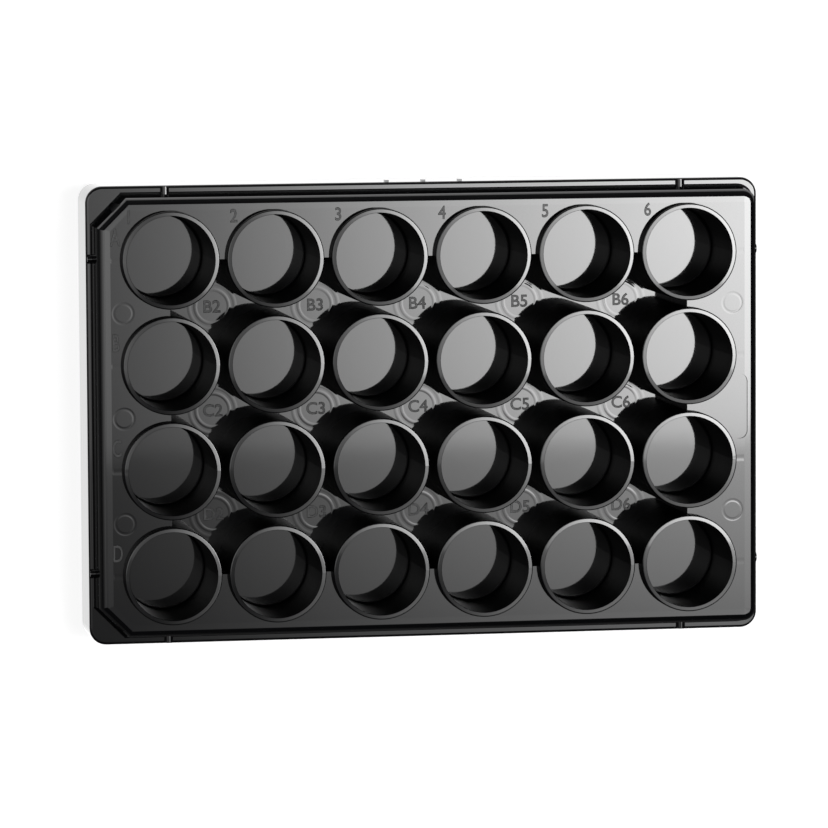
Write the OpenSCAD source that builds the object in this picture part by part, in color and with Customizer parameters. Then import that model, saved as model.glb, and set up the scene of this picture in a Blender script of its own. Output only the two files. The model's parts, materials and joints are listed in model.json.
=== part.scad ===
// Multiwell culture plate, 24 wells in 4 rows of 6, moulded in one piece.
// Origin: centre of the skirt's bottom edge. Row A lies at +Y, column 1 at -X, wells open to +Z.

/* [Skirt] */
// Length of the skirt
skirt_l = 126.7; // [124:0.1:132]
// Width of the skirt
skirt_w = 85.1; // [82:0.1:90]
// Corner radius of the skirt
skirt_r = 3.1; // [2:0.1:5]
// Height of the ledge that the skirt ends in
ledge_z = 11.7; // [8:0.1:14]
// Rounding of the ledge's outer edge
ledge_round = 0.5; // [0.2:0.05:0.9]
// Thickness of the skirt and of the other outer walls
wall = 1.2; // [0.9:0.1:1.8]

/* [Deck] */
// Width of the ledge along the short sides
ledge_x = 0.95; // [0.7:0.05:2]
// Width of the ledge along the long sides
ledge_y = 1.5; // [0.7:0.05:3]
// Height of the deck over the base
deck_z = 18; // [16:0.1:20]
// Thickness of the deck
deck_t = 1.2; // [0.9:0.1:2]
// Rounding of the deck's edge
deck_round = 1.35; // [0.4:0.05:1.5]
// Draft angle of the deck's wall, in degrees
deck_draft = 5; // [1:0.5:7]
// Fillet where the deck's wall meets the ledge
foot_fillet = 0.4; // [0.2:0.05:0.45]
// Leg of the two bevelled corners beside column 1
bevel = 5.7; // [4:0.1:6]
// Width of the band that slopes down to the deck's rounded edge
band_w = 1; // [0.5:0.1:1.2]
// Drop of that band
band_drop = 0.05; // [0.03:0.01:0.2]
// Radius of the corners inside the band
field_r = 0.1; // [0.1:0.1:0.6]

/* [Wells] */
// Wells along a row
columns = 6; // [2:1:6]
// Wells along a column
rows = 4; // [2:1:4]
// Distance between the centres of neighbouring wells
pitch = 19.45; // [19.2:0.05:19.6]
// Diameter of a well at its mouth
well_d = 16.4; // [14:0.1:16.8]
// Draft of a well's wall, from mouth to floor
well_draft = 0.3; // [0:0.05:0.6]
// Depth of a well
well_depth = 16.2; // [13:0.1:16.6]
// Fillet around a well's floor
floor_fillet = 0.4; // [0.2:0.1:1.5]
// Thickness of a tube's wall at the mouth
tube_wall = 0.85; // [0.85:0.05:1.1]
// Height of the rims over the deck
rim_h = 2; // [0.6:0.1:3]
// Slope of the rim's top, outwards, in degrees
rim_slope = 4; // [1:0.5:8]
// Rounding of the rim's outer edge
rim_round = 0.25; // [0.1:0.05:0.4]
// Rounding of a well's mouth
mouth_round = 0.1; // [0.05:0.05:0.2]
// Thickness of the floor
floor_t = 1; // [0.6:0.1:1.5]

/* [Marks] */
// Diameter of the round marks on the deck and in the pockets
disc_d = 3.8; // [3:0.1:4.4]
// Depth of the round marks on the deck
disc_depth = 0.12; // [0.05:0.01:0.3]
// Distance of the round marks from the deck's side walls
disc_gap = 5.1; // [4.9:0.1:6]
// Diameter of the raised pad in each pocket
pad_d = 6.2; // [4:0.1:7]
// Height of the raised pad in each pocket
pad_h = 0.1; // [0.05:0.01:0.3]
// Length of the bare label recess
label_l = 12.2; // [6:0.1:13]
// Width of the bare label recess
label_w = 3; // [2:0.1:3]
// Distance of the bare label recess from the deck's rounded edge
label_gap = 0.45; // [0.2:0.05:0.8]
// Depth of the bare label recess
label_depth = 0.3; // [0.1:0.05:0.5]

/* [Ribs] */
// Width of a half-round rib on the ledge
rib_w = 1.7; // [1.2:0.1:2.2]
// Height of a rib over the ledge
rib_h = 0.95; // [0.6:0.05:1.1]
// Distance from a rib's end to the skirt's face
rib_gap = 0.15; // [0.1:0.05:0.3]
// Reach of the three gate marks beside row A
gate_reach = 0.4; // [0.1:0.05:0.6]
// Width of a gate mark
gate_w = 0.7; // [0.4:0.1:1.2]
// Height of a gate mark
gate_h = 1.6; // [0.8:0.1:3]
// Distance between the gate marks
gate_step = 6.9; // [4:0.1:10]

/* [Hidden] */
$fn = 96;
eps = 0.01;

deck_l = skirt_l - 2 * ledge_x;
deck_w = skirt_w - 2 * ledge_y;
// Distance of the wall's face from the centre of the deck's rounding, so that the two cross
turn_r = 0.998 * deck_round;
// Height of the deck's rounded edge, and of the line where it turns into the wall
edge_z = deck_z - band_drop;
turn_z = edge_z - deck_round + turn_r * sin(deck_draft);
// Width from the rounded edge to the foot of the wall
side_w = turn_r * cos(deck_draft) + (turn_z - ledge_z) * tan(deck_draft);
deck_r = side_w + band_w + field_r;
// Distance of the foot fillet's centre from the ledge and the wall, so that it crosses both
foot_r = 0.998 * foot_fillet;
tube_d = well_d + 2 * tube_wall;
rim_z = deck_z + rim_h;
floor_z = rim_z - well_depth;
sheet_z = floor_z - floor_t;
row_l = (columns - 1) * pitch;
col_l = (rows - 1) * pitch;
// Drop of a bevel's leg when its outline moves inwards by one
bevel_rate = 2 - sqrt(2);
// Height of the bevels' edge over the edge of the sides
edge_lap = deck_round / 100;

function centre_x(column) = (column - (columns - 1) / 2) * pitch;
function centre_y(row) = ((rows - 1) / 2 - row) * pitch;

// Corners of a rectangle, moved inwards, counter-clockwise
function frame_ring(length, width, inset) =
    let (x = length / 2 - inset, y = width / 2 - inset)
    [[x, -y], [x, y], [-x, y], [-x, -y]];

// Corners of the deck's outline with its two bevels, moved inwards, counter-clockwise
function deck_ring(inset) =
    let (x = deck_l / 2 - inset, y = deck_w / 2 - inset, leg = bevel - bevel_rate * inset)
    [[x, -y], [x, y], [leg - x, y], [-x, y - leg], [-x, leg - y], [leg - x, -y]];

function heading(from, to) = atan2(to.y - from.y, to.x - from.x);

// Sweeps a section around a ring of corner centres: section x points outwards, section y up
module sweep(ring) {
    count = len(ring);
    for (i = [0:count - 1]) {
        here = ring[i];
        next = ring[(i + 1) % count];
        before = ring[(i + count - 1) % count];
        way_in = heading(before, here);
        way_out = heading(here, next);
        translate(next) rotate(way_out) rotate([90, 0, -90])
            linear_extrude(norm(next - here)) children();
        translate(here) rotate(way_in - 90)
            rotate_extrude(angle = (way_out - way_in + 360) % 360) children();
    }
}

module quarter_disc(r) {
    intersection() {
        circle(r);
        square(r);
    }
}

// Half of an upright slab's section, with its outer top edge rounded
module slab_section(reach, top, round_r) {
    square([reach, top - round_r]);
    square([reach - round_r, top]);
    translate([reach - round_r, top - round_r]) quarter_disc(round_r);
}

// Section of the fillet between the ledge and the drafted wall, whose foot lies at x = 0
module foot_section() {
    centre = [foot_r * (1 - sin(deck_draft)) / cos(deck_draft), ledge_z + foot_r];
    sunk_z = ledge_z - foot_fillet / 4;
    difference() {
        polygon([
            [-foot_fillet, sunk_z], [centre.x, sunk_z], centre,
            centre - 2 * foot_fillet * [cos(deck_draft), sin(deck_draft)]
        ]);
        translate(centre) circle(foot_fillet);
    }
}

// Section of the deck's side, whose wall ends at x = 0: band, rounded edge, wall and fillet
module side_section() {
    edge = -side_w;
    inner = edge - band_w - field_r;
    polygon([
        [inner, 0], [0, 0], [0, ledge_z],
        [edge + turn_r * cos(deck_draft), turn_z], [edge, turn_z],
        [edge, edge_z], [edge - band_w, deck_z], [inner, deck_z]
    ]);
    translate([edge, edge_z - deck_round]) quarter_disc(deck_round);
    foot_section();
}

// Solid block with round corners, whose sides take the given section
module block(ring, top) {
    linear_extrude(top) polygon(ring);
    sweep(ring) children();
}

// Cuts one corner of the deck off at 45 degrees, down to the ledge, and leaves the same side
module bevel_cut() {
    reach = side_w + band_w;
    rotate([90, 0, 0]) linear_extrude(3 * bevel, center = true) difference() {
        translate([-reach, ledge_z]) square([bevel + reach, deck_z]);
        translate([0, edge_lap]) side_section();
    }
}

// Outer shell: skirt, ledge, deck wall and deck, hollow from below
module shell() {
    skirt = frame_ring(skirt_l, skirt_w, skirt_r);
    deck = frame_ring(deck_l, deck_w, deck_r);
    difference() {
        union() {
            block(skirt, ledge_z) slab_section(skirt_r, ledge_z, ledge_round);
            block(deck, deck_z) translate([deck_r, 0]) side_section();
        }
        for (side = [-1, 1])
            translate([(bevel - deck_l) / 2, side * (deck_w - bevel) / 2, 0])
                rotate(180 - 45 * side) bevel_cut();
        translate([0, 0, -eps]) block(skirt, ledge_z - wall + eps)
            slab_section(skirt_r - wall, ledge_z - wall + eps, eps);
        translate([0, 0, -eps]) linear_extrude(deck_z - deck_t + eps)
            polygon(deck_ring(side_w - deck_round + wall));
    }
}

// Walls and floor of the pocket field between the outer wells' centre-lines
module pocket_box() {
    translate([-row_l / 2 - wall, -col_l / 2 - wall, sheet_z])
        cube([row_l + 2 * wall, col_l + 2 * wall, deck_z - deck_t / 2 - sheet_z]);
}

module pocket_space() {
    translate([-row_l / 2, -col_l / 2, floor_z]) cube([row_l, col_l, rim_z]);
}

// Section of one well's tube, from the floor sheet to the sloping top of the rim
module tube_section() {
    outer_r = tube_d / 2;
    height = rim_z - sheet_z;
    fall = tan(rim_slope);
    shoulder = height - tube_wall * fall + rim_round / 20;
    intersection() {
        union() {
            slab_section(outer_r, shoulder, rim_round);
            square([outer_r - rim_round, height + 1]);
        }
        polygon([
            [0, 0], [outer_r + 1, 0], [outer_r + 1, height - (tube_wall + 1) * fall],
            [0, height + well_d / 2 * fall]
        ]);
    }
}

module tube() {
    translate([0, 0, sheet_z]) rotate_extrude() tube_section();
}

// Space inside one well, with a rounded mouth and a filleted floor
module well_space() {
    mouth_r = well_d / 2;
    floor_r = mouth_r - well_draft;
    flat_r = floor_r - floor_fillet;
    rotate_extrude() {
        polygon([
            [0, floor_z + floor_fillet], [floor_r, floor_z + floor_fillet],
            [mouth_r, rim_z - mouth_round], [mouth_r, rim_z + 1], [0, rim_z + 1]
        ]);
        translate([0, floor_z]) square([flat_r, floor_fillet]);
        translate([flat_r, floor_z + floor_fillet]) intersection() {
            circle(floor_fillet);
            translate([0, -floor_fillet]) square(floor_fillet);
        }
        translate([mouth_r, rim_z]) mirror([0, 1]) difference() {
            translate([0, -1]) square([mouth_round, mouth_round + 1]);
            translate([mouth_round, mouth_round]) circle(mouth_round);
        }
    }
}

module at_wells() {
    for (row = [0:rows - 1], column = [0:columns - 1])
        translate([centre_x(column), centre_y(row), 0]) children();
}

module at_pockets() {
    for (row = [0:rows - 2], column = [0:columns - 2])
        translate([centre_x(column) + pitch / 2, centre_y(row) - pitch / 2, 0]) children();
}

// Places for the round marks in the side margins, between the rows
module at_discs() {
    for (row = [0:rows - 2]) {
        y = centre_y(row) - pitch / 2;
        for (side = y > label_l / 2 || y < -label_l / 2 ? [-1, 1] : [-1])
            translate([side * (deck_l / 2 - disc_gap), y, deck_z - disc_depth]) children();
    }
}

// Bare recess with round ends in the right margin
module label_space() {
    inset = side_w + label_gap + label_w / 2;
    translate([deck_l / 2 - inset, 0, deck_z - label_depth]) linear_extrude(1) {
        square([label_w, label_l - label_w], center = true);
        for (side = [-1, 1]) translate([0, side * (label_l - label_w) / 2]) circle(d = label_w);
    }
}

// Rib that lies on the ledge along +X, from inside the deck's wall to the skirt's face
module rib(wall_x, skirt_x) {
    start = wall_x - wall / 3;
    translate([start, 0, ledge_z + rib_h - rib_w / 2]) rotate([0, 90, 0])
        cylinder(h = skirt_x - rib_gap - start, d = rib_w);
}

// Ribs in line with the outer rows and columns
module ribs() {
    for (turn = [0, 180]) {
        for (y = [centre_y(0), centre_y(rows - 1)])
            rotate(turn) translate([0, y, 0]) rib(deck_l / 2, skirt_l / 2);
        for (x = [centre_x(0), centre_x(columns - 1)])
            rotate(turn + 90) translate([0, x, 0]) rib(deck_w / 2, skirt_w / 2);
    }
}

// Gate marks on the skirt beside row A
module gate_marks() {
    for (i = [-1:1])
        translate([i * gate_step, (skirt_w - wall) / 2, ledge_z - ledge_round - gate_h / 2])
            cube([gate_w, wall + 2 * gate_reach, gate_h], center = true);
}

// The whole moulded plate
module well_plate() {
    color([0.035, 0.037, 0.04]) difference() {
        union() {
            difference() {
                union() {
                    shell();
                    pocket_box();
                }
                pocket_space();
                at_discs() cylinder(h = 1, d = disc_d);
                label_space();
            }
            at_pockets() translate([0, 0, floor_z - floor_t / 2])
                cylinder(h = floor_t / 2 + pad_h, d = pad_d);
            at_wells() tube();
            ribs();
            gate_marks();
        }
        at_wells() well_space();
    }
}

well_plate();
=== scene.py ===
"""Looks of a black moulded well plate: its finish, its moulded lettering, the studio and the camera."""

import json
import logging
import math
from dataclasses import dataclass, field
from enum import Enum

import bpy
from mathutils import Matrix, Vector


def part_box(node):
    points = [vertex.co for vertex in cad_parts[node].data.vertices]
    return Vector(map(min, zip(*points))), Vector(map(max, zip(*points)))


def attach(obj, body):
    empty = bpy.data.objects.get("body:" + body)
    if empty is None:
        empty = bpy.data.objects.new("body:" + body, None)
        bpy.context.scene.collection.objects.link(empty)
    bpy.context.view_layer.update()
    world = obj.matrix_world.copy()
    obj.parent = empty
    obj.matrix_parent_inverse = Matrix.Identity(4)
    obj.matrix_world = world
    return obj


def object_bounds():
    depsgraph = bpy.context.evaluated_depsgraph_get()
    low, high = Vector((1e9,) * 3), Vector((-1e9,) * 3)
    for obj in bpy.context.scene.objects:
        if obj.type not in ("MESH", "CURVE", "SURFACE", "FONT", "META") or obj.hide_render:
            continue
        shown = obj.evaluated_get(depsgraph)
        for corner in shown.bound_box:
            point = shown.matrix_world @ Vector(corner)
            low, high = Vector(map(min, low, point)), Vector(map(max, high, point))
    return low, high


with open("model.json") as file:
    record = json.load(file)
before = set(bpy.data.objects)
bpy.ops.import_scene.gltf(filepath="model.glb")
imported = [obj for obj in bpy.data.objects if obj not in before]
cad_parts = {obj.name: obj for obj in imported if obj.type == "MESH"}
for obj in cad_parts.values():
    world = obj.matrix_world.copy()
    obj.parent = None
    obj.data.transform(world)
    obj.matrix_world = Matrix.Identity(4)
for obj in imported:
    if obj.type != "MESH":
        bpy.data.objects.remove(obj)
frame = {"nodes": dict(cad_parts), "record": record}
CAD_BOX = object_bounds()
NODE = "well_plate"
ROOT = "root"
MM = 0.001
WHITE = (1.0, 1.0, 1.0, 1.0)
log = logging.getLogger("well_plate")


class Sock:
    """An output socket, or a plain number, that can be used in Python expressions."""

    def __init__(self, shader: "Shader", value: object) -> None:
        """Wraps a value.

        Args:
            shader: The builder whose node tree takes the new nodes.
            value: A node socket or a number.
        """
        self.shader = shader
        self.value = value

    def _math(self, operation: str, *others: "Sock | float", swap: bool = False) -> "Sock":
        """Adds one Math node.

        Args:
            operation: The node's operation.
            others: The other operand or operands.
            swap: Whether this socket is the second operand.

        Returns:
            The node's result.
        """
        operands = [self, *others]
        if swap:
            operands.reverse()
        return self.shader.node("ShaderNodeMath", {"operation": operation}, dict(enumerate(operands)))

    def __add__(self, other: "Sock | float") -> "Sock":
        """Sum."""
        return self._math("ADD", other)

    def __radd__(self, other: "Sock | float") -> "Sock":
        """Reflected sum."""
        return self._math("ADD", other, swap=True)

    def __sub__(self, other: "Sock | float") -> "Sock":
        """Difference."""
        return self._math("SUBTRACT", other)

    def __rsub__(self, other: "Sock | float") -> "Sock":
        """Reflected difference."""
        return self._math("SUBTRACT", other, swap=True)

    def __mul__(self, other: "Sock | float") -> "Sock":
        """Product."""
        return self._math("MULTIPLY", other)

    def __rmul__(self, other: "Sock | float") -> "Sock":
        """Reflected product."""
        return self._math("MULTIPLY", other, swap=True)

    def __truediv__(self, other: "Sock | float") -> "Sock":
        """Quotient."""
        return self._math("DIVIDE", other)

    def __rtruediv__(self, other: "Sock | float") -> "Sock":
        """Reflected quotient."""
        return self._math("DIVIDE", other, swap=True)

    def __abs__(self) -> "Sock":
        """Magnitude."""
        return self._math("ABSOLUTE")

    def least(self, other: "Sock | float") -> "Sock":
        """The smaller of two values."""
        return self._math("MINIMUM", other)

    def most(self, other: "Sock | float") -> "Sock":
        """The larger of two values."""
        return self._math("MAXIMUM", other)

    def clamp(self) -> "Sock":
        """This value held between 0 and 1."""
        return self.most(0.0).least(1.0)

    def root(self) -> "Sock":
        """Square root."""
        return self._math("SQRT")

    def wrap(self, period: float) -> "Sock":
        """The remainder after division, from 0 up to the period."""
        return self._math("FLOORED_MODULO", period)

    def below(self, limit: float) -> "Sock":
        """1 where this value is less than the limit, 0 elsewhere."""
        return self._math("LESS_THAN", limit)


class Shader:
    """Builds the nodes of one material or world."""

    def __init__(self, owner: bpy.types.ID) -> None:
        """Starts an empty tree.

        Args:
            owner: A material or world.
        """
        owner.use_nodes = True
        self.tree = owner.node_tree
        self.tree.nodes.clear()

    def node(self, kind: str, settings: dict | None = None, inputs: dict | None = None,
             output: int | str = 0) -> Sock:
        """Adds any node.

        Args:
            kind: The node's type.
            settings: Attributes of the node, set first; "stops" and "interpolation" are a colour ramp's.
            inputs: Values or sockets by input name or number.
            output: The output to return.

        Returns:
            The chosen output.
        """
        made = self.tree.nodes.new(kind)
        for name, value in (settings or {}).items():
            if name == "stops":
                self._fill_ramp(made.color_ramp, value)
            elif name == "interpolation":
                made.color_ramp.interpolation = value
            else:
                setattr(made, name, value)
        for name, value in (inputs or {}).items():
            self._feed(made.inputs[name], value)
        return Sock(self, made.outputs[output]) if made.outputs else Sock(self, made)

    @staticmethod
    def _fill_ramp(ramp: bpy.types.ColorRamp, stops: list) -> None:
        """Sets a colour ramp's stops.

        Args:
            ramp: The ramp.
            stops: Pairs of a place from 0 to 1 and a grey value.
        """
        while len(ramp.elements) < len(stops):
            ramp.elements.new(1.0)
        for element, (place, grey) in zip(ramp.elements, stops):
            element.position = place
            element.color = (grey, grey, grey, 1.0)

    def _feed(self, socket: bpy.types.NodeSocket, value: "Sock | float | tuple") -> None:
        """Links or sets one input.

        Args:
            socket: The input.
            value: A Sock, a number or a colour.
        """
        if isinstance(value, Sock):
            value = value.value
        if isinstance(value, bpy.types.NodeSocket):
            self.tree.links.new(value, socket)
        else:
            socket.default_value = value

    def axes(self, source: Sock) -> tuple[Sock, Sock, Sock]:
        """The three parts of a vector.

        Args:
            source: The vector.

        Returns:
            X, Y and Z.
        """
        split = source.shader.node("ShaderNodeSeparateXYZ", inputs={0: source})
        outputs = split.value.node.outputs
        return tuple(Sock(self, outputs[i]) for i in range(3))


@dataclass(frozen=True)
class WellGrid:
    """Where the wells lie."""

    left: float
    back: float
    pitch: float
    rows: int = 4
    columns: int = 6

    @classmethod
    def from_frame(cls) -> "WellGrid":
        """Reads the wells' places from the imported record.

        Returns:
            The grid.
        """
        boxes = {hole["name"]: hole["box_m"] for hole in frame["record"]["physics"]["openings"]}
        first, second = boxes["well_a1"], boxes["well_a2"]
        centre = [(low + high) / 2 for low, high in zip(*first)]
        return cls(left=centre[0], back=centre[1], pitch=second[0][0] - first[0][0])

    def centre(self, row: float, column: float) -> tuple[float, float]:
        """The centre of a well, or of a place between wells.

        Args:
            row: Rows from row A.
            column: Columns from column 1.

        Returns:
            X and Y.
        """
        return self.left + column * self.pitch, self.back - row * self.pitch

    def from_pocket(self, x: Sock, y: Sock) -> tuple[Sock, Sock]:
        """The place relative to the nearest pocket between four wells.

        Args:
            x: The place along the rows.
            y: The place along the columns.

        Returns:
            The two distances.
        """
        low_x, low_y = self.centre(self.rows, 0)
        return (x - low_x).wrap(self.pitch) - self.pitch / 2, (y - low_y).wrap(self.pitch) - self.pitch / 2

    def from_well(self, x: Sock, y: Sock) -> Sock:
        """The distance from the nearest well's centre.

        Args:
            x: The place along the rows.
            y: The place along the columns.

        Returns:
            The distance.
        """
        low_x, low_y = self.centre(self.rows - 0.5, -0.5)
        side = (x - low_x).wrap(self.pitch) - self.pitch / 2
        along = (y - low_y).wrap(self.pitch) - self.pitch / 2
        return (side * side + along * along).root()

    def from_row(self, y: Sock) -> Sock:
        """The distance from the nearest row's centre line."""
        return (y - self.centre(self.rows - 0.5, 0)[1]).wrap(self.pitch) - self.pitch / 2


@dataclass(frozen=True)
class Relief:
    """Relief in the finish: faint rings and sinks, and an easing of the slope of the rims' tops."""

    grid: WellGrid
    pad_rings: tuple[tuple[float, float, float], ...] = (
        (3.15 * MM, 0.45 * MM, 0.0045 * MM), (4.3 * MM, 0.5 * MM, 0.003 * MM))
    disc_x: float = 57.3 * MM
    disc_ring: tuple[float, float, float] = (1.8 * MM, 0.40 * MM, -0.004 * MM)
    disc_reach: float = 30 * MM
    badge_reach: float = 8 * MM
    sink_from: float = 56.5 * MM
    sink_to: float = 59.5 * MM
    sink_width: float = 0.7 * MM
    sink_depth: float = 0.002 * MM
    deck_above: float = 17.5 * MM
    floor_below: float = 5 * MM
    rim_from: float = 8.2 * MM
    rim_to: float = 9.05 * MM
    rim_above: float = 19 * MM
    rim_lift: float = 0.037
    wave_scale: float = 260.0
    wave_detail: float = 1.0
    wave_height: float = 0.0006 * MM

    def normal(self, shader: Shader) -> Sock:
        """Adds the nodes of the marks.

        Args:
            shader: The builder.

        Returns:
            The bumped normal.
        """
        place = shader.node("ShaderNodeTexCoord", output="Object")
        x, y, z = shader.axes(place)
        side, along = self.grid.from_pocket(x, y)
        in_pocket = z.below(self.floor_below)
        from_pad = (side * side + along * along).root()
        height = sum((self._ring(from_pad, *ring) for ring in self.pad_rings), 0.0) * in_pocket
        off_disc = abs(x) - self.disc_x
        from_disc = (off_disc * off_disc + along * along).root()
        beside = abs(y).below(self.disc_reach) * (1.0 - (0.0 - x).below(0.0) * abs(y).below(self.badge_reach))
        height = height + self._ring(from_disc, *self.disc_ring) * beside * (1.0 - in_pocket)
        margin = ((abs(x) - self.sink_from) / MM).clamp() * abs(x).below(self.sink_to)
        margin = margin * (1.0 - z.below(self.deck_above))
        off_row = abs(self.grid.from_row(y))
        height = height - self._ring(off_row, 0.0, self.sink_width, self.sink_depth) * margin
        rim = self.grid.from_well(x, y).most(self.rim_from).least(self.rim_to)
        height = height + rim * self.rim_lift * (1.0 - z.below(self.rim_above))
        wave = shader.node("ShaderNodeTexNoise", inputs={
            "Vector": place, "Scale": self.wave_scale, "Detail": self.wave_detail})
        height = height + wave * self.wave_height
        return shader.node("ShaderNodeBump", inputs={"Height": height, "Distance": 1.0})

    @staticmethod
    def _ring(away: Sock, radius: float, width: float, height: float) -> Sock:
        """A soft ridge around a point.

        Args:
            away: The distance from the point.
            radius: The ridge's radius.
            width: Half of the ridge's width.
            height: Its height, negative for a groove.

        Returns:
            The height.
        """
        share = (away - radius) / width
        dome = (1.0 - share * share).clamp()
        return dome * dome * height


@dataclass(frozen=True)
class MouldedPlastic:
    """Black polystyrene as it leaves the mould: polished faces, and a rougher copy on the tubes' walls whose
    darker colour and weaker reflection are painted shade in the wells.
    """

    relief: Relief
    colour: tuple[float, float, float] = (0.0045, 0.0046, 0.0056)
    roughness: float = 0.04
    ior: float = 1.85
    # Painted shade: the walls' darker colour and weaker gloss darken the wells, on top of their real
    # roughness.
    wall_shade_colour: tuple[float, float, float] = (0.0030, 0.0030, 0.0038)
    wall_roughness: float = 0.45
    wall_shade_gloss: float = 0.22
    wall_field: tuple[float, float] = (59 * MM, 39.5 * MM)
    wall_top: float = 17 * MM
    wall_tilt: float = 0.4
    foot_tilt: float = 0.998
    letter_roughness: float = 0.3
    letter_ior: float = 1.59

    def material(self) -> bpy.types.Material:
        """Makes the polished finish and the rougher walls' copy, with its painted shade, in one material.

        Returns:
            The material.
        """
        made = bpy.data.materials.new("moulded_black")
        shader = Shader(made)
        normal = self.relief.normal(shader)
        polished = shader.node("ShaderNodeBsdfPrincipled", inputs={
            "Base Color": (*self.colour, 1.0),
            "Roughness": self.roughness,
            "IOR": self.ior,
            "Normal": normal,
        })
        # The walls' copy: rougher, with painted shade in its darker colour and weaker reflection.
        matt = shader.node("ShaderNodeBsdfPrincipled", inputs={
            "Base Color": (*self.wall_shade_colour, 1.0),
            "Roughness": self.wall_roughness,
            "Specular IOR Level": self.wall_shade_gloss,
        })
        surface = shader.node("ShaderNodeMixShader", inputs={0: self._shaded_walls(shader), 1: polished, 2: matt})
        shader.node("ShaderNodeOutputMaterial", inputs={"Surface": surface})
        return made

    def letters(self) -> bpy.types.Material:
        """Makes the duller finish that engraving leaves on the lettering.

        Returns:
            The material.
        """
        made = bpy.data.materials.new("moulded_letters")
        shader = Shader(made)
        surface = shader.node("ShaderNodeBsdfPrincipled", inputs={
            "Base Color": (*self.colour, 1.0),
            "Roughness": self.letter_roughness,
            "IOR": self.letter_ior,
        })
        shader.node("ShaderNodeOutputMaterial", inputs={"Surface": surface})
        return made

    def _shaded_walls(self, shader: Shader) -> Sock:
        """Where the walls of the tubes lie, inside and out, with the fillets at their feet: the places that
        take the painted shade.

        Args:
            shader: The builder.

        Returns:
            1 on such a wall, 0 elsewhere.
        """
        x, y, z = shader.axes(shader.node("ShaderNodeTexCoord", output="Object"))
        _, _, up = shader.axes(shader.node("ShaderNodeNewGeometry", output="Normal"))
        inside = abs(x).below(self.wall_field[0]) * abs(y).below(self.wall_field[1])
        low = z.below(self.wall_top)
        return inside * abs(up).below(low * (self.foot_tilt - self.wall_tilt) + self.wall_tilt)


class Run(Enum):
    """How a fade runs from one stop to the next."""

    STRAIGHT = "LINEAR"
    SOFT = "EASE"


@dataclass(frozen=True)
class Fade:
    """How a light's brightness runs along one axis: pairs of a place in metres and a share."""

    stops: tuple[tuple[float, float], ...]
    run: Run = Run.STRAIGHT

    def apply(self, shader: Shader, place: Sock) -> Sock:
        """Adds the nodes of the fade.

        Args:
            shader: The builder.
            place: The place along the axis, in metres.

        Returns:
            The share at that place.
        """
        low, high = self.stops[0][0], self.stops[-1][0]
        span = high - low
        stops = [((at - low) / span, share) for at, share in self.stops]
        settings = {"stops": stops, "interpolation": self.run.value}
        return shader.node("ShaderNodeValToRGB", settings, {0: (place - low) / span})


@dataclass(frozen=True)
class Panel:
    """A flat light whose brightness fades along two axes and that is white to the camera."""

    name: str
    corners: tuple[tuple[float, float, float], ...]
    strength: float
    fades: dict[int, Fade]

    def build(self) -> None:
        """Makes the panel."""
        panel = mesh_object(self.name, list(self.corners), [(0, 1, 2, 3)])
        made = bpy.data.materials.new(self.name + "_front")
        shader = Shader(made)
        axes = shader.axes(shader.node("ShaderNodeTexCoord", output="Object"))
        glow = 1.0
        for axis, fade in self.fades.items():
            glow = fade.apply(shader, axes[axis]) * glow
        lit = shader.node("ShaderNodeEmission", inputs={"Color": glow, "Strength": self.strength})
        white = shader.node("ShaderNodeEmission", inputs={"Color": WHITE, "Strength": 1.0})
        direct = shader.node("ShaderNodeLightPath", output="Is Camera Ray")
        surface = shader.node("ShaderNodeMixShader", inputs={0: direct, 1: lit, 2: white})
        shader.node("ShaderNodeOutputMaterial", inputs={"Surface": surface})
        panel.data.materials.append(made)


# The light box rises softly across and has one hard step along
BOX_ACROSS = Fade(((-0.6, 0.08), (-0.05, 0.14), (0.11, 0.06), (0.57, 0.93), (0.95, 1.0)), Run.SOFT)
BOX_ALONG = Fade((
    (-0.6, 0.1), (-0.45, 0.2), (-0.27, 0.15), (-0.177, 0.36), (-0.173, 0.65), (-0.14, 0.8),
    (-0.07, 0.95), (0.1, 1.0), (0.23, 0.95)))
# The left card dims away from the light box and towards row D
CARD_ALONG = Fade(((-0.60, 0.10), (-0.36, 0.2), (-0.23, 0.42), (-0.15, 0.75), (0.0, 1.0), (0.6, 0.9)))
CARD_OUT = Fade(((-2.0, 0.05), (-1.7, 0.1), (-1.25, 0.36), (-0.95, 0.7), (-0.6, 1.0)))


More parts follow.
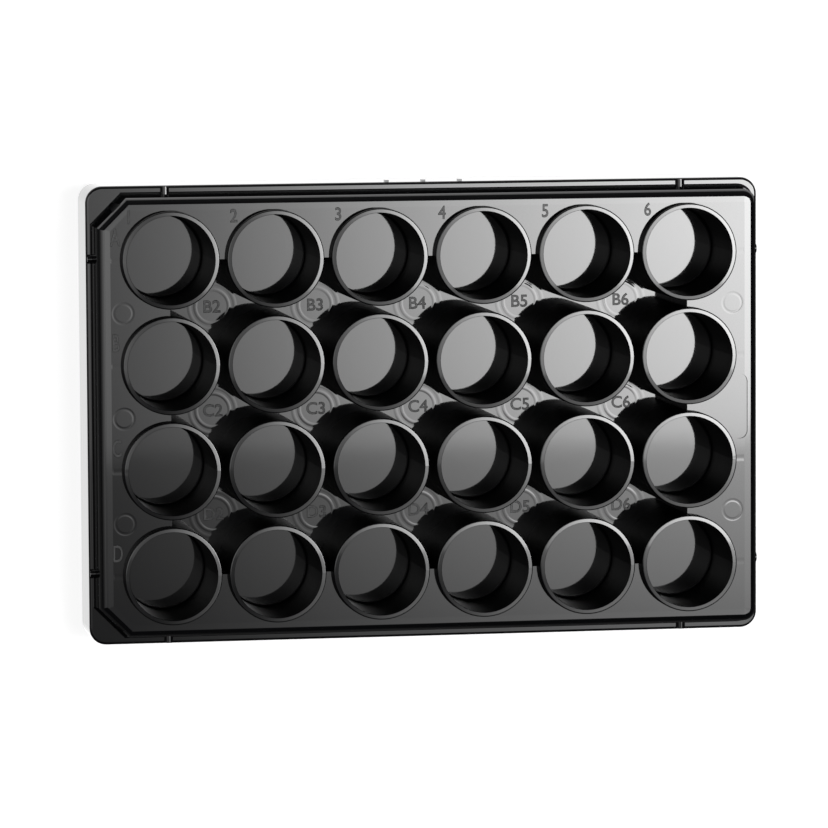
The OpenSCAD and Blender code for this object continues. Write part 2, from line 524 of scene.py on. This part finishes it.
@dataclass
class Studio:
    """Pale floor, dim surroundings, a large graded light box overhead and a dim card at the left."""

    floor_size: float = 12.0
    floor_glow: float = 0.84
    floor_shade: float = 0.8
    # Painted reflection: glossy rays see a painted floor glow, dim in general, with a painted bright band at
    # the plate's foot and behind row A.
    painted_dim_glow: float = 0.05
    painted_foot_glow: float = 1.3
    painted_foot_reach: float = 2.4 * MM
    painted_foot_fade: float = 0.8 * MM
    painted_behind_glow: float = 0.8
    painted_behind_fade: float = 10 * MM
    surround: float = 0.012
    surround_behind: float = 0.045
    panels: tuple[Panel, ...] = (
        Panel("light_box", ((-0.60, -0.60, 1.7), (-0.60, 0.23, 1.7), (0.95, 0.23, 1.7), (0.95, -0.60, 1.7)),
              11.0, {0: BOX_ACROSS, 1: BOX_ALONG}),
        Panel("left_card", ((-2.0, -0.60, 0.2), (-2.0, 0.60, 0.2), (-0.6, 0.60, 1.7), (-0.6, -0.60, 1.7)),
              1.1, {0: CARD_OUT, 1: CARD_ALONG}),
    )

    def build(self) -> None:
        """Makes the floor, the world and the panels."""
        self._floor()
        self._world()
        for panel in self.panels:
            panel.build()

    def _floor(self) -> None:
        """Makes the floor: white to the camera but for the plate's shade, and in reflections a painted glow,
        dim but for a painted bright band at the plate's foot and behind row A.
        """
        half = self.floor_size / 2
        corners = [(-half, -half, 0), (half, -half, 0), (half, half, 0), (-half, half, 0)]
        floor = mesh_object("floor", corners, [(0, 1, 2, 3)])
        made = bpy.data.materials.new("white_floor")
        shader = Shader(made)
        glow = shader.node("ShaderNodeEmission", inputs={"Color": WHITE, "Strength": self.floor_glow})
        matte = shader.node("ShaderNodeBsdfDiffuse", inputs={"Color": (*(self.floor_shade,) * 3, 1.0)})
        seen = shader.node("ShaderNodeAddShader", inputs={0: glow, 1: matte})
        # Glossy rays see the painted reflection glow instead of the white floor.
        painted_reflection_shader = shader.node("ShaderNodeEmission", inputs={
            "Color": self._painted_reflection(shader), "Strength": 1.0})
        path = shader.node("ShaderNodeLightPath", output="Is Camera Ray")
        outputs = path.value.node.outputs
        glossy = Sock(shader, outputs["Is Glossy Ray"])
        bounced = shader.node("ShaderNodeMixShader", inputs={0: glossy, 1: matte, 2: painted_reflection_shader})
        surface = shader.node("ShaderNodeMixShader", inputs={0: path, 1: bounced, 2: seen})
        shader.node("ShaderNodeOutputMaterial", inputs={"Surface": surface})
        floor.data.materials.append(made)

    def _painted_reflection(self, shader: Shader) -> Sock:
        """The floor's painted glow in reflections, a painted reflection: bright at the plate's foot and
        behind row A, dim elsewhere.

        Args:
            shader: The builder.

        Returns:
            A grey value.
        """
        x, y, _ = shader.axes(shader.node("ShaderNodeTexCoord", output="Object"))
        (low_x, low_y, _), (high_x, high_y, _) = CAD_BOX
        # Painted highlight band around the plate's foot, and painted glow behind row A.
        beyond = (low_x - x).most(x - high_x).most(low_y - y).most(y - high_y).most(0.0)
        foot = ((self.painted_foot_reach - beyond) / self.painted_foot_fade).clamp()
        behind = ((y - high_y) / self.painted_behind_fade).clamp()
        return (foot * self.painted_foot_glow + self.painted_dim_glow).most(behind * self.painted_behind_glow)

    def _world(self) -> None:
        """Makes a dim world, a little brighter behind row A, that is white to the camera."""
        world = bpy.data.worlds.new("studio")
        bpy.context.scene.world = world
        shader = Shader(world)
        direct = shader.node("ShaderNodeLightPath", output="Is Camera Ray")
        _, y, _ = shader.axes(shader.node("ShaderNodeTexCoord", output="Generated"))
        dim = y.clamp() * self.surround_behind + self.surround
        sky = shader.node("ShaderNodeBackground", inputs={
            "Color": WHITE, "Strength": dim.most(direct)})
        shader.node("ShaderNodeOutputWorld", inputs={"Surface": sky})


@dataclass(frozen=True)
class View:
    """A long lens high over the plate, from beyond row A and column 1."""

    place: tuple[float, float, float] = (-0.19337, 0.10125, 1.10761)
    target: tuple[float, float, float] = (-0.00358, 0.0, 0.020)
    roll: float = -0.315
    lens: float = 260.43
    sensor: float = 36.0
    nearest: float = 0.05
    farthest: float = 50.0

    def build(self) -> None:
        """Makes the camera and hands it to the scene."""
        data = bpy.data.cameras.new("camera")
        data.lens = self.lens
        data.sensor_width = self.sensor
        data.clip_start = self.nearest
        data.clip_end = self.farthest
        camera = bpy.data.objects.new("camera", data)
        bpy.context.scene.collection.objects.link(camera)
        back = (Vector(self.place) - Vector(self.target)).normalized()
        right = Vector((0.0, 1.0, 0.0)).cross(back).normalized()
        up = back.cross(right)
        turn = Matrix((right, up, back)).transposed().to_4x4()
        camera.matrix_world = (
            Matrix.Translation(self.place) @ turn @ Matrix.Rotation(math.radians(self.roll), 4, "Z"))
        bpy.context.scene.camera = camera


def mesh_object(name: str, points: list, faces: list) -> bpy.types.Object:
    """Makes a mesh object in the scene.

    Args:
        name: Its name.
        points: Its corners.
        faces: Corner numbers of each face.

    Returns:
        The object.
    """
    mesh = bpy.data.meshes.new(name)
    mesh.from_pydata(points, [], faces)
    mesh.update()
    made = bpy.data.objects.new(name, mesh)
    bpy.context.scene.collection.objects.link(made)
    return made


@dataclass(frozen=True)
class Label:
    """Raised letters at one place."""

    text: str
    place: tuple[float, float, float]
    height: float
    squeeze: float = 1.0


@dataclass
class Lettering:
    """The moulded column numbers, row letters and well names."""

    grid: WellGrid
    finish: bpy.types.Material
    deck: float
    pocket: float
    number_offset: tuple[float, float] = (-7.5 * MM, 8.0 * MM)
    number_height: float = 2.5 * MM
    number_squeeze: float = 0.85
    letter_x: float = -58.7 * MM
    letter_offset: float = 4.3 * MM
    letter_height: float = 3.2 * MM
    letter_squeeze: float = 0.6
    name_height: float = 2.35 * MM
    name_squeeze: float = 1.0
    relief: float = 0.05 * MM
    edge: float = 0.07 * MM
    sunk: float = 0.03 * MM
    capital: float = 0.7
    curve_steps: int = 4
    edge_steps: int = 2

    def build(self) -> None:
        """Makes every label."""
        for label in self._labels():
            self._raise(label)
        log.info("raised the lettering")

    def _labels(self) -> list[Label]:
        """Lists the labels.

        Returns:
            Column numbers, row letters and pocket names.
        """
        letters = "ABCD"[:self.grid.rows]
        found = []
        for column in range(self.grid.columns):
            x, y = self.grid.centre(0, column)
            place = (x + self.number_offset[0], y + self.number_offset[1], self.deck)
            found.append(Label(str(column + 1), place, self.number_height, self.number_squeeze))
        for row, letter in enumerate(letters):
            _, y = self.grid.centre(row, 0)
            place = (self.letter_x, y + self.letter_offset, self.deck)
            found.append(Label(letter, place, self.letter_height, self.letter_squeeze))
        for row, letter in enumerate(letters[1:]):
            for column in range(1, self.grid.columns):
                place = (*self.grid.centre(row + 0.5, column - 0.5), self.pocket)
                found.append(Label(f"{letter}{column + 1}", place, self.name_height, self.name_squeeze))
        return found

    def _raise(self, label: Label) -> None:
        """Makes one label as a mesh.

        Args:
            label: The label.
        """
        curve = bpy.data.curves.new("label", "FONT")
        curve.body = label.text
        curve.resolution_u = self.curve_steps
        unit = label.height / self.capital
        curve.extrude = self.relief / unit
        curve.bevel_depth = self.edge / unit
        curve.bevel_resolution = self.edge_steps
        shape = bpy.data.objects.new("label", curve)
        mesh = bpy.data.meshes.new_from_object(shape)
        bpy.data.objects.remove(shape)
        points = [vertex.co.copy() for vertex in mesh.vertices]
        low = Vector(map(min, zip(*points)))
        high = Vector(map(max, zip(*points)))
        middle = (low + high) / 2
        scale = label.height / (high.y - low.y)
        for vertex in mesh.vertices:
            off = (vertex.co - middle) * scale
            vertex.co = Vector((off.x * label.squeeze, off.y, off.z - self.sunk)) + Vector(label.place)
        mesh.materials.clear()
        mesh.materials.append(self.finish)
        piece = bpy.data.objects.new("label_" + label.text.lower(), mesh)
        bpy.context.scene.collection.objects.link(piece)
        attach(piece, ROOT)


@dataclass
class Plate:
    """The moulded plate itself."""

    grid: WellGrid = field(default_factory=WellGrid.from_frame)
    rim: float = 2.0 * MM
    well_depth: float = 16.2 * MM
    pad: float = 0.1 * MM

    def dress(self) -> None:
        """Gives the solid its finish and adds the lettering."""
        plate = frame["nodes"][NODE]
        plastic = MouldedPlastic(Relief(self.grid))
        plate.data.materials.clear()
        plate.data.materials.append(plastic.material())
        log.info("dressed %s", NODE)
        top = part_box(NODE)[1].z
        pocket = top - self.well_depth + self.pad
        Lettering(self.grid, plastic.letters(), deck=top - self.rim, pocket=pocket).build()


def main() -> None:
    """Builds the plate's looks, the studio and the camera in order."""
    logging.basicConfig(level=logging.INFO, format="%(name)s: %(message)s")
    bpy.context.scene.view_settings.view_transform = "Standard"
    View().build()
    Plate().dress()
    Studio().build()


if __name__ == "__main__":
    main()
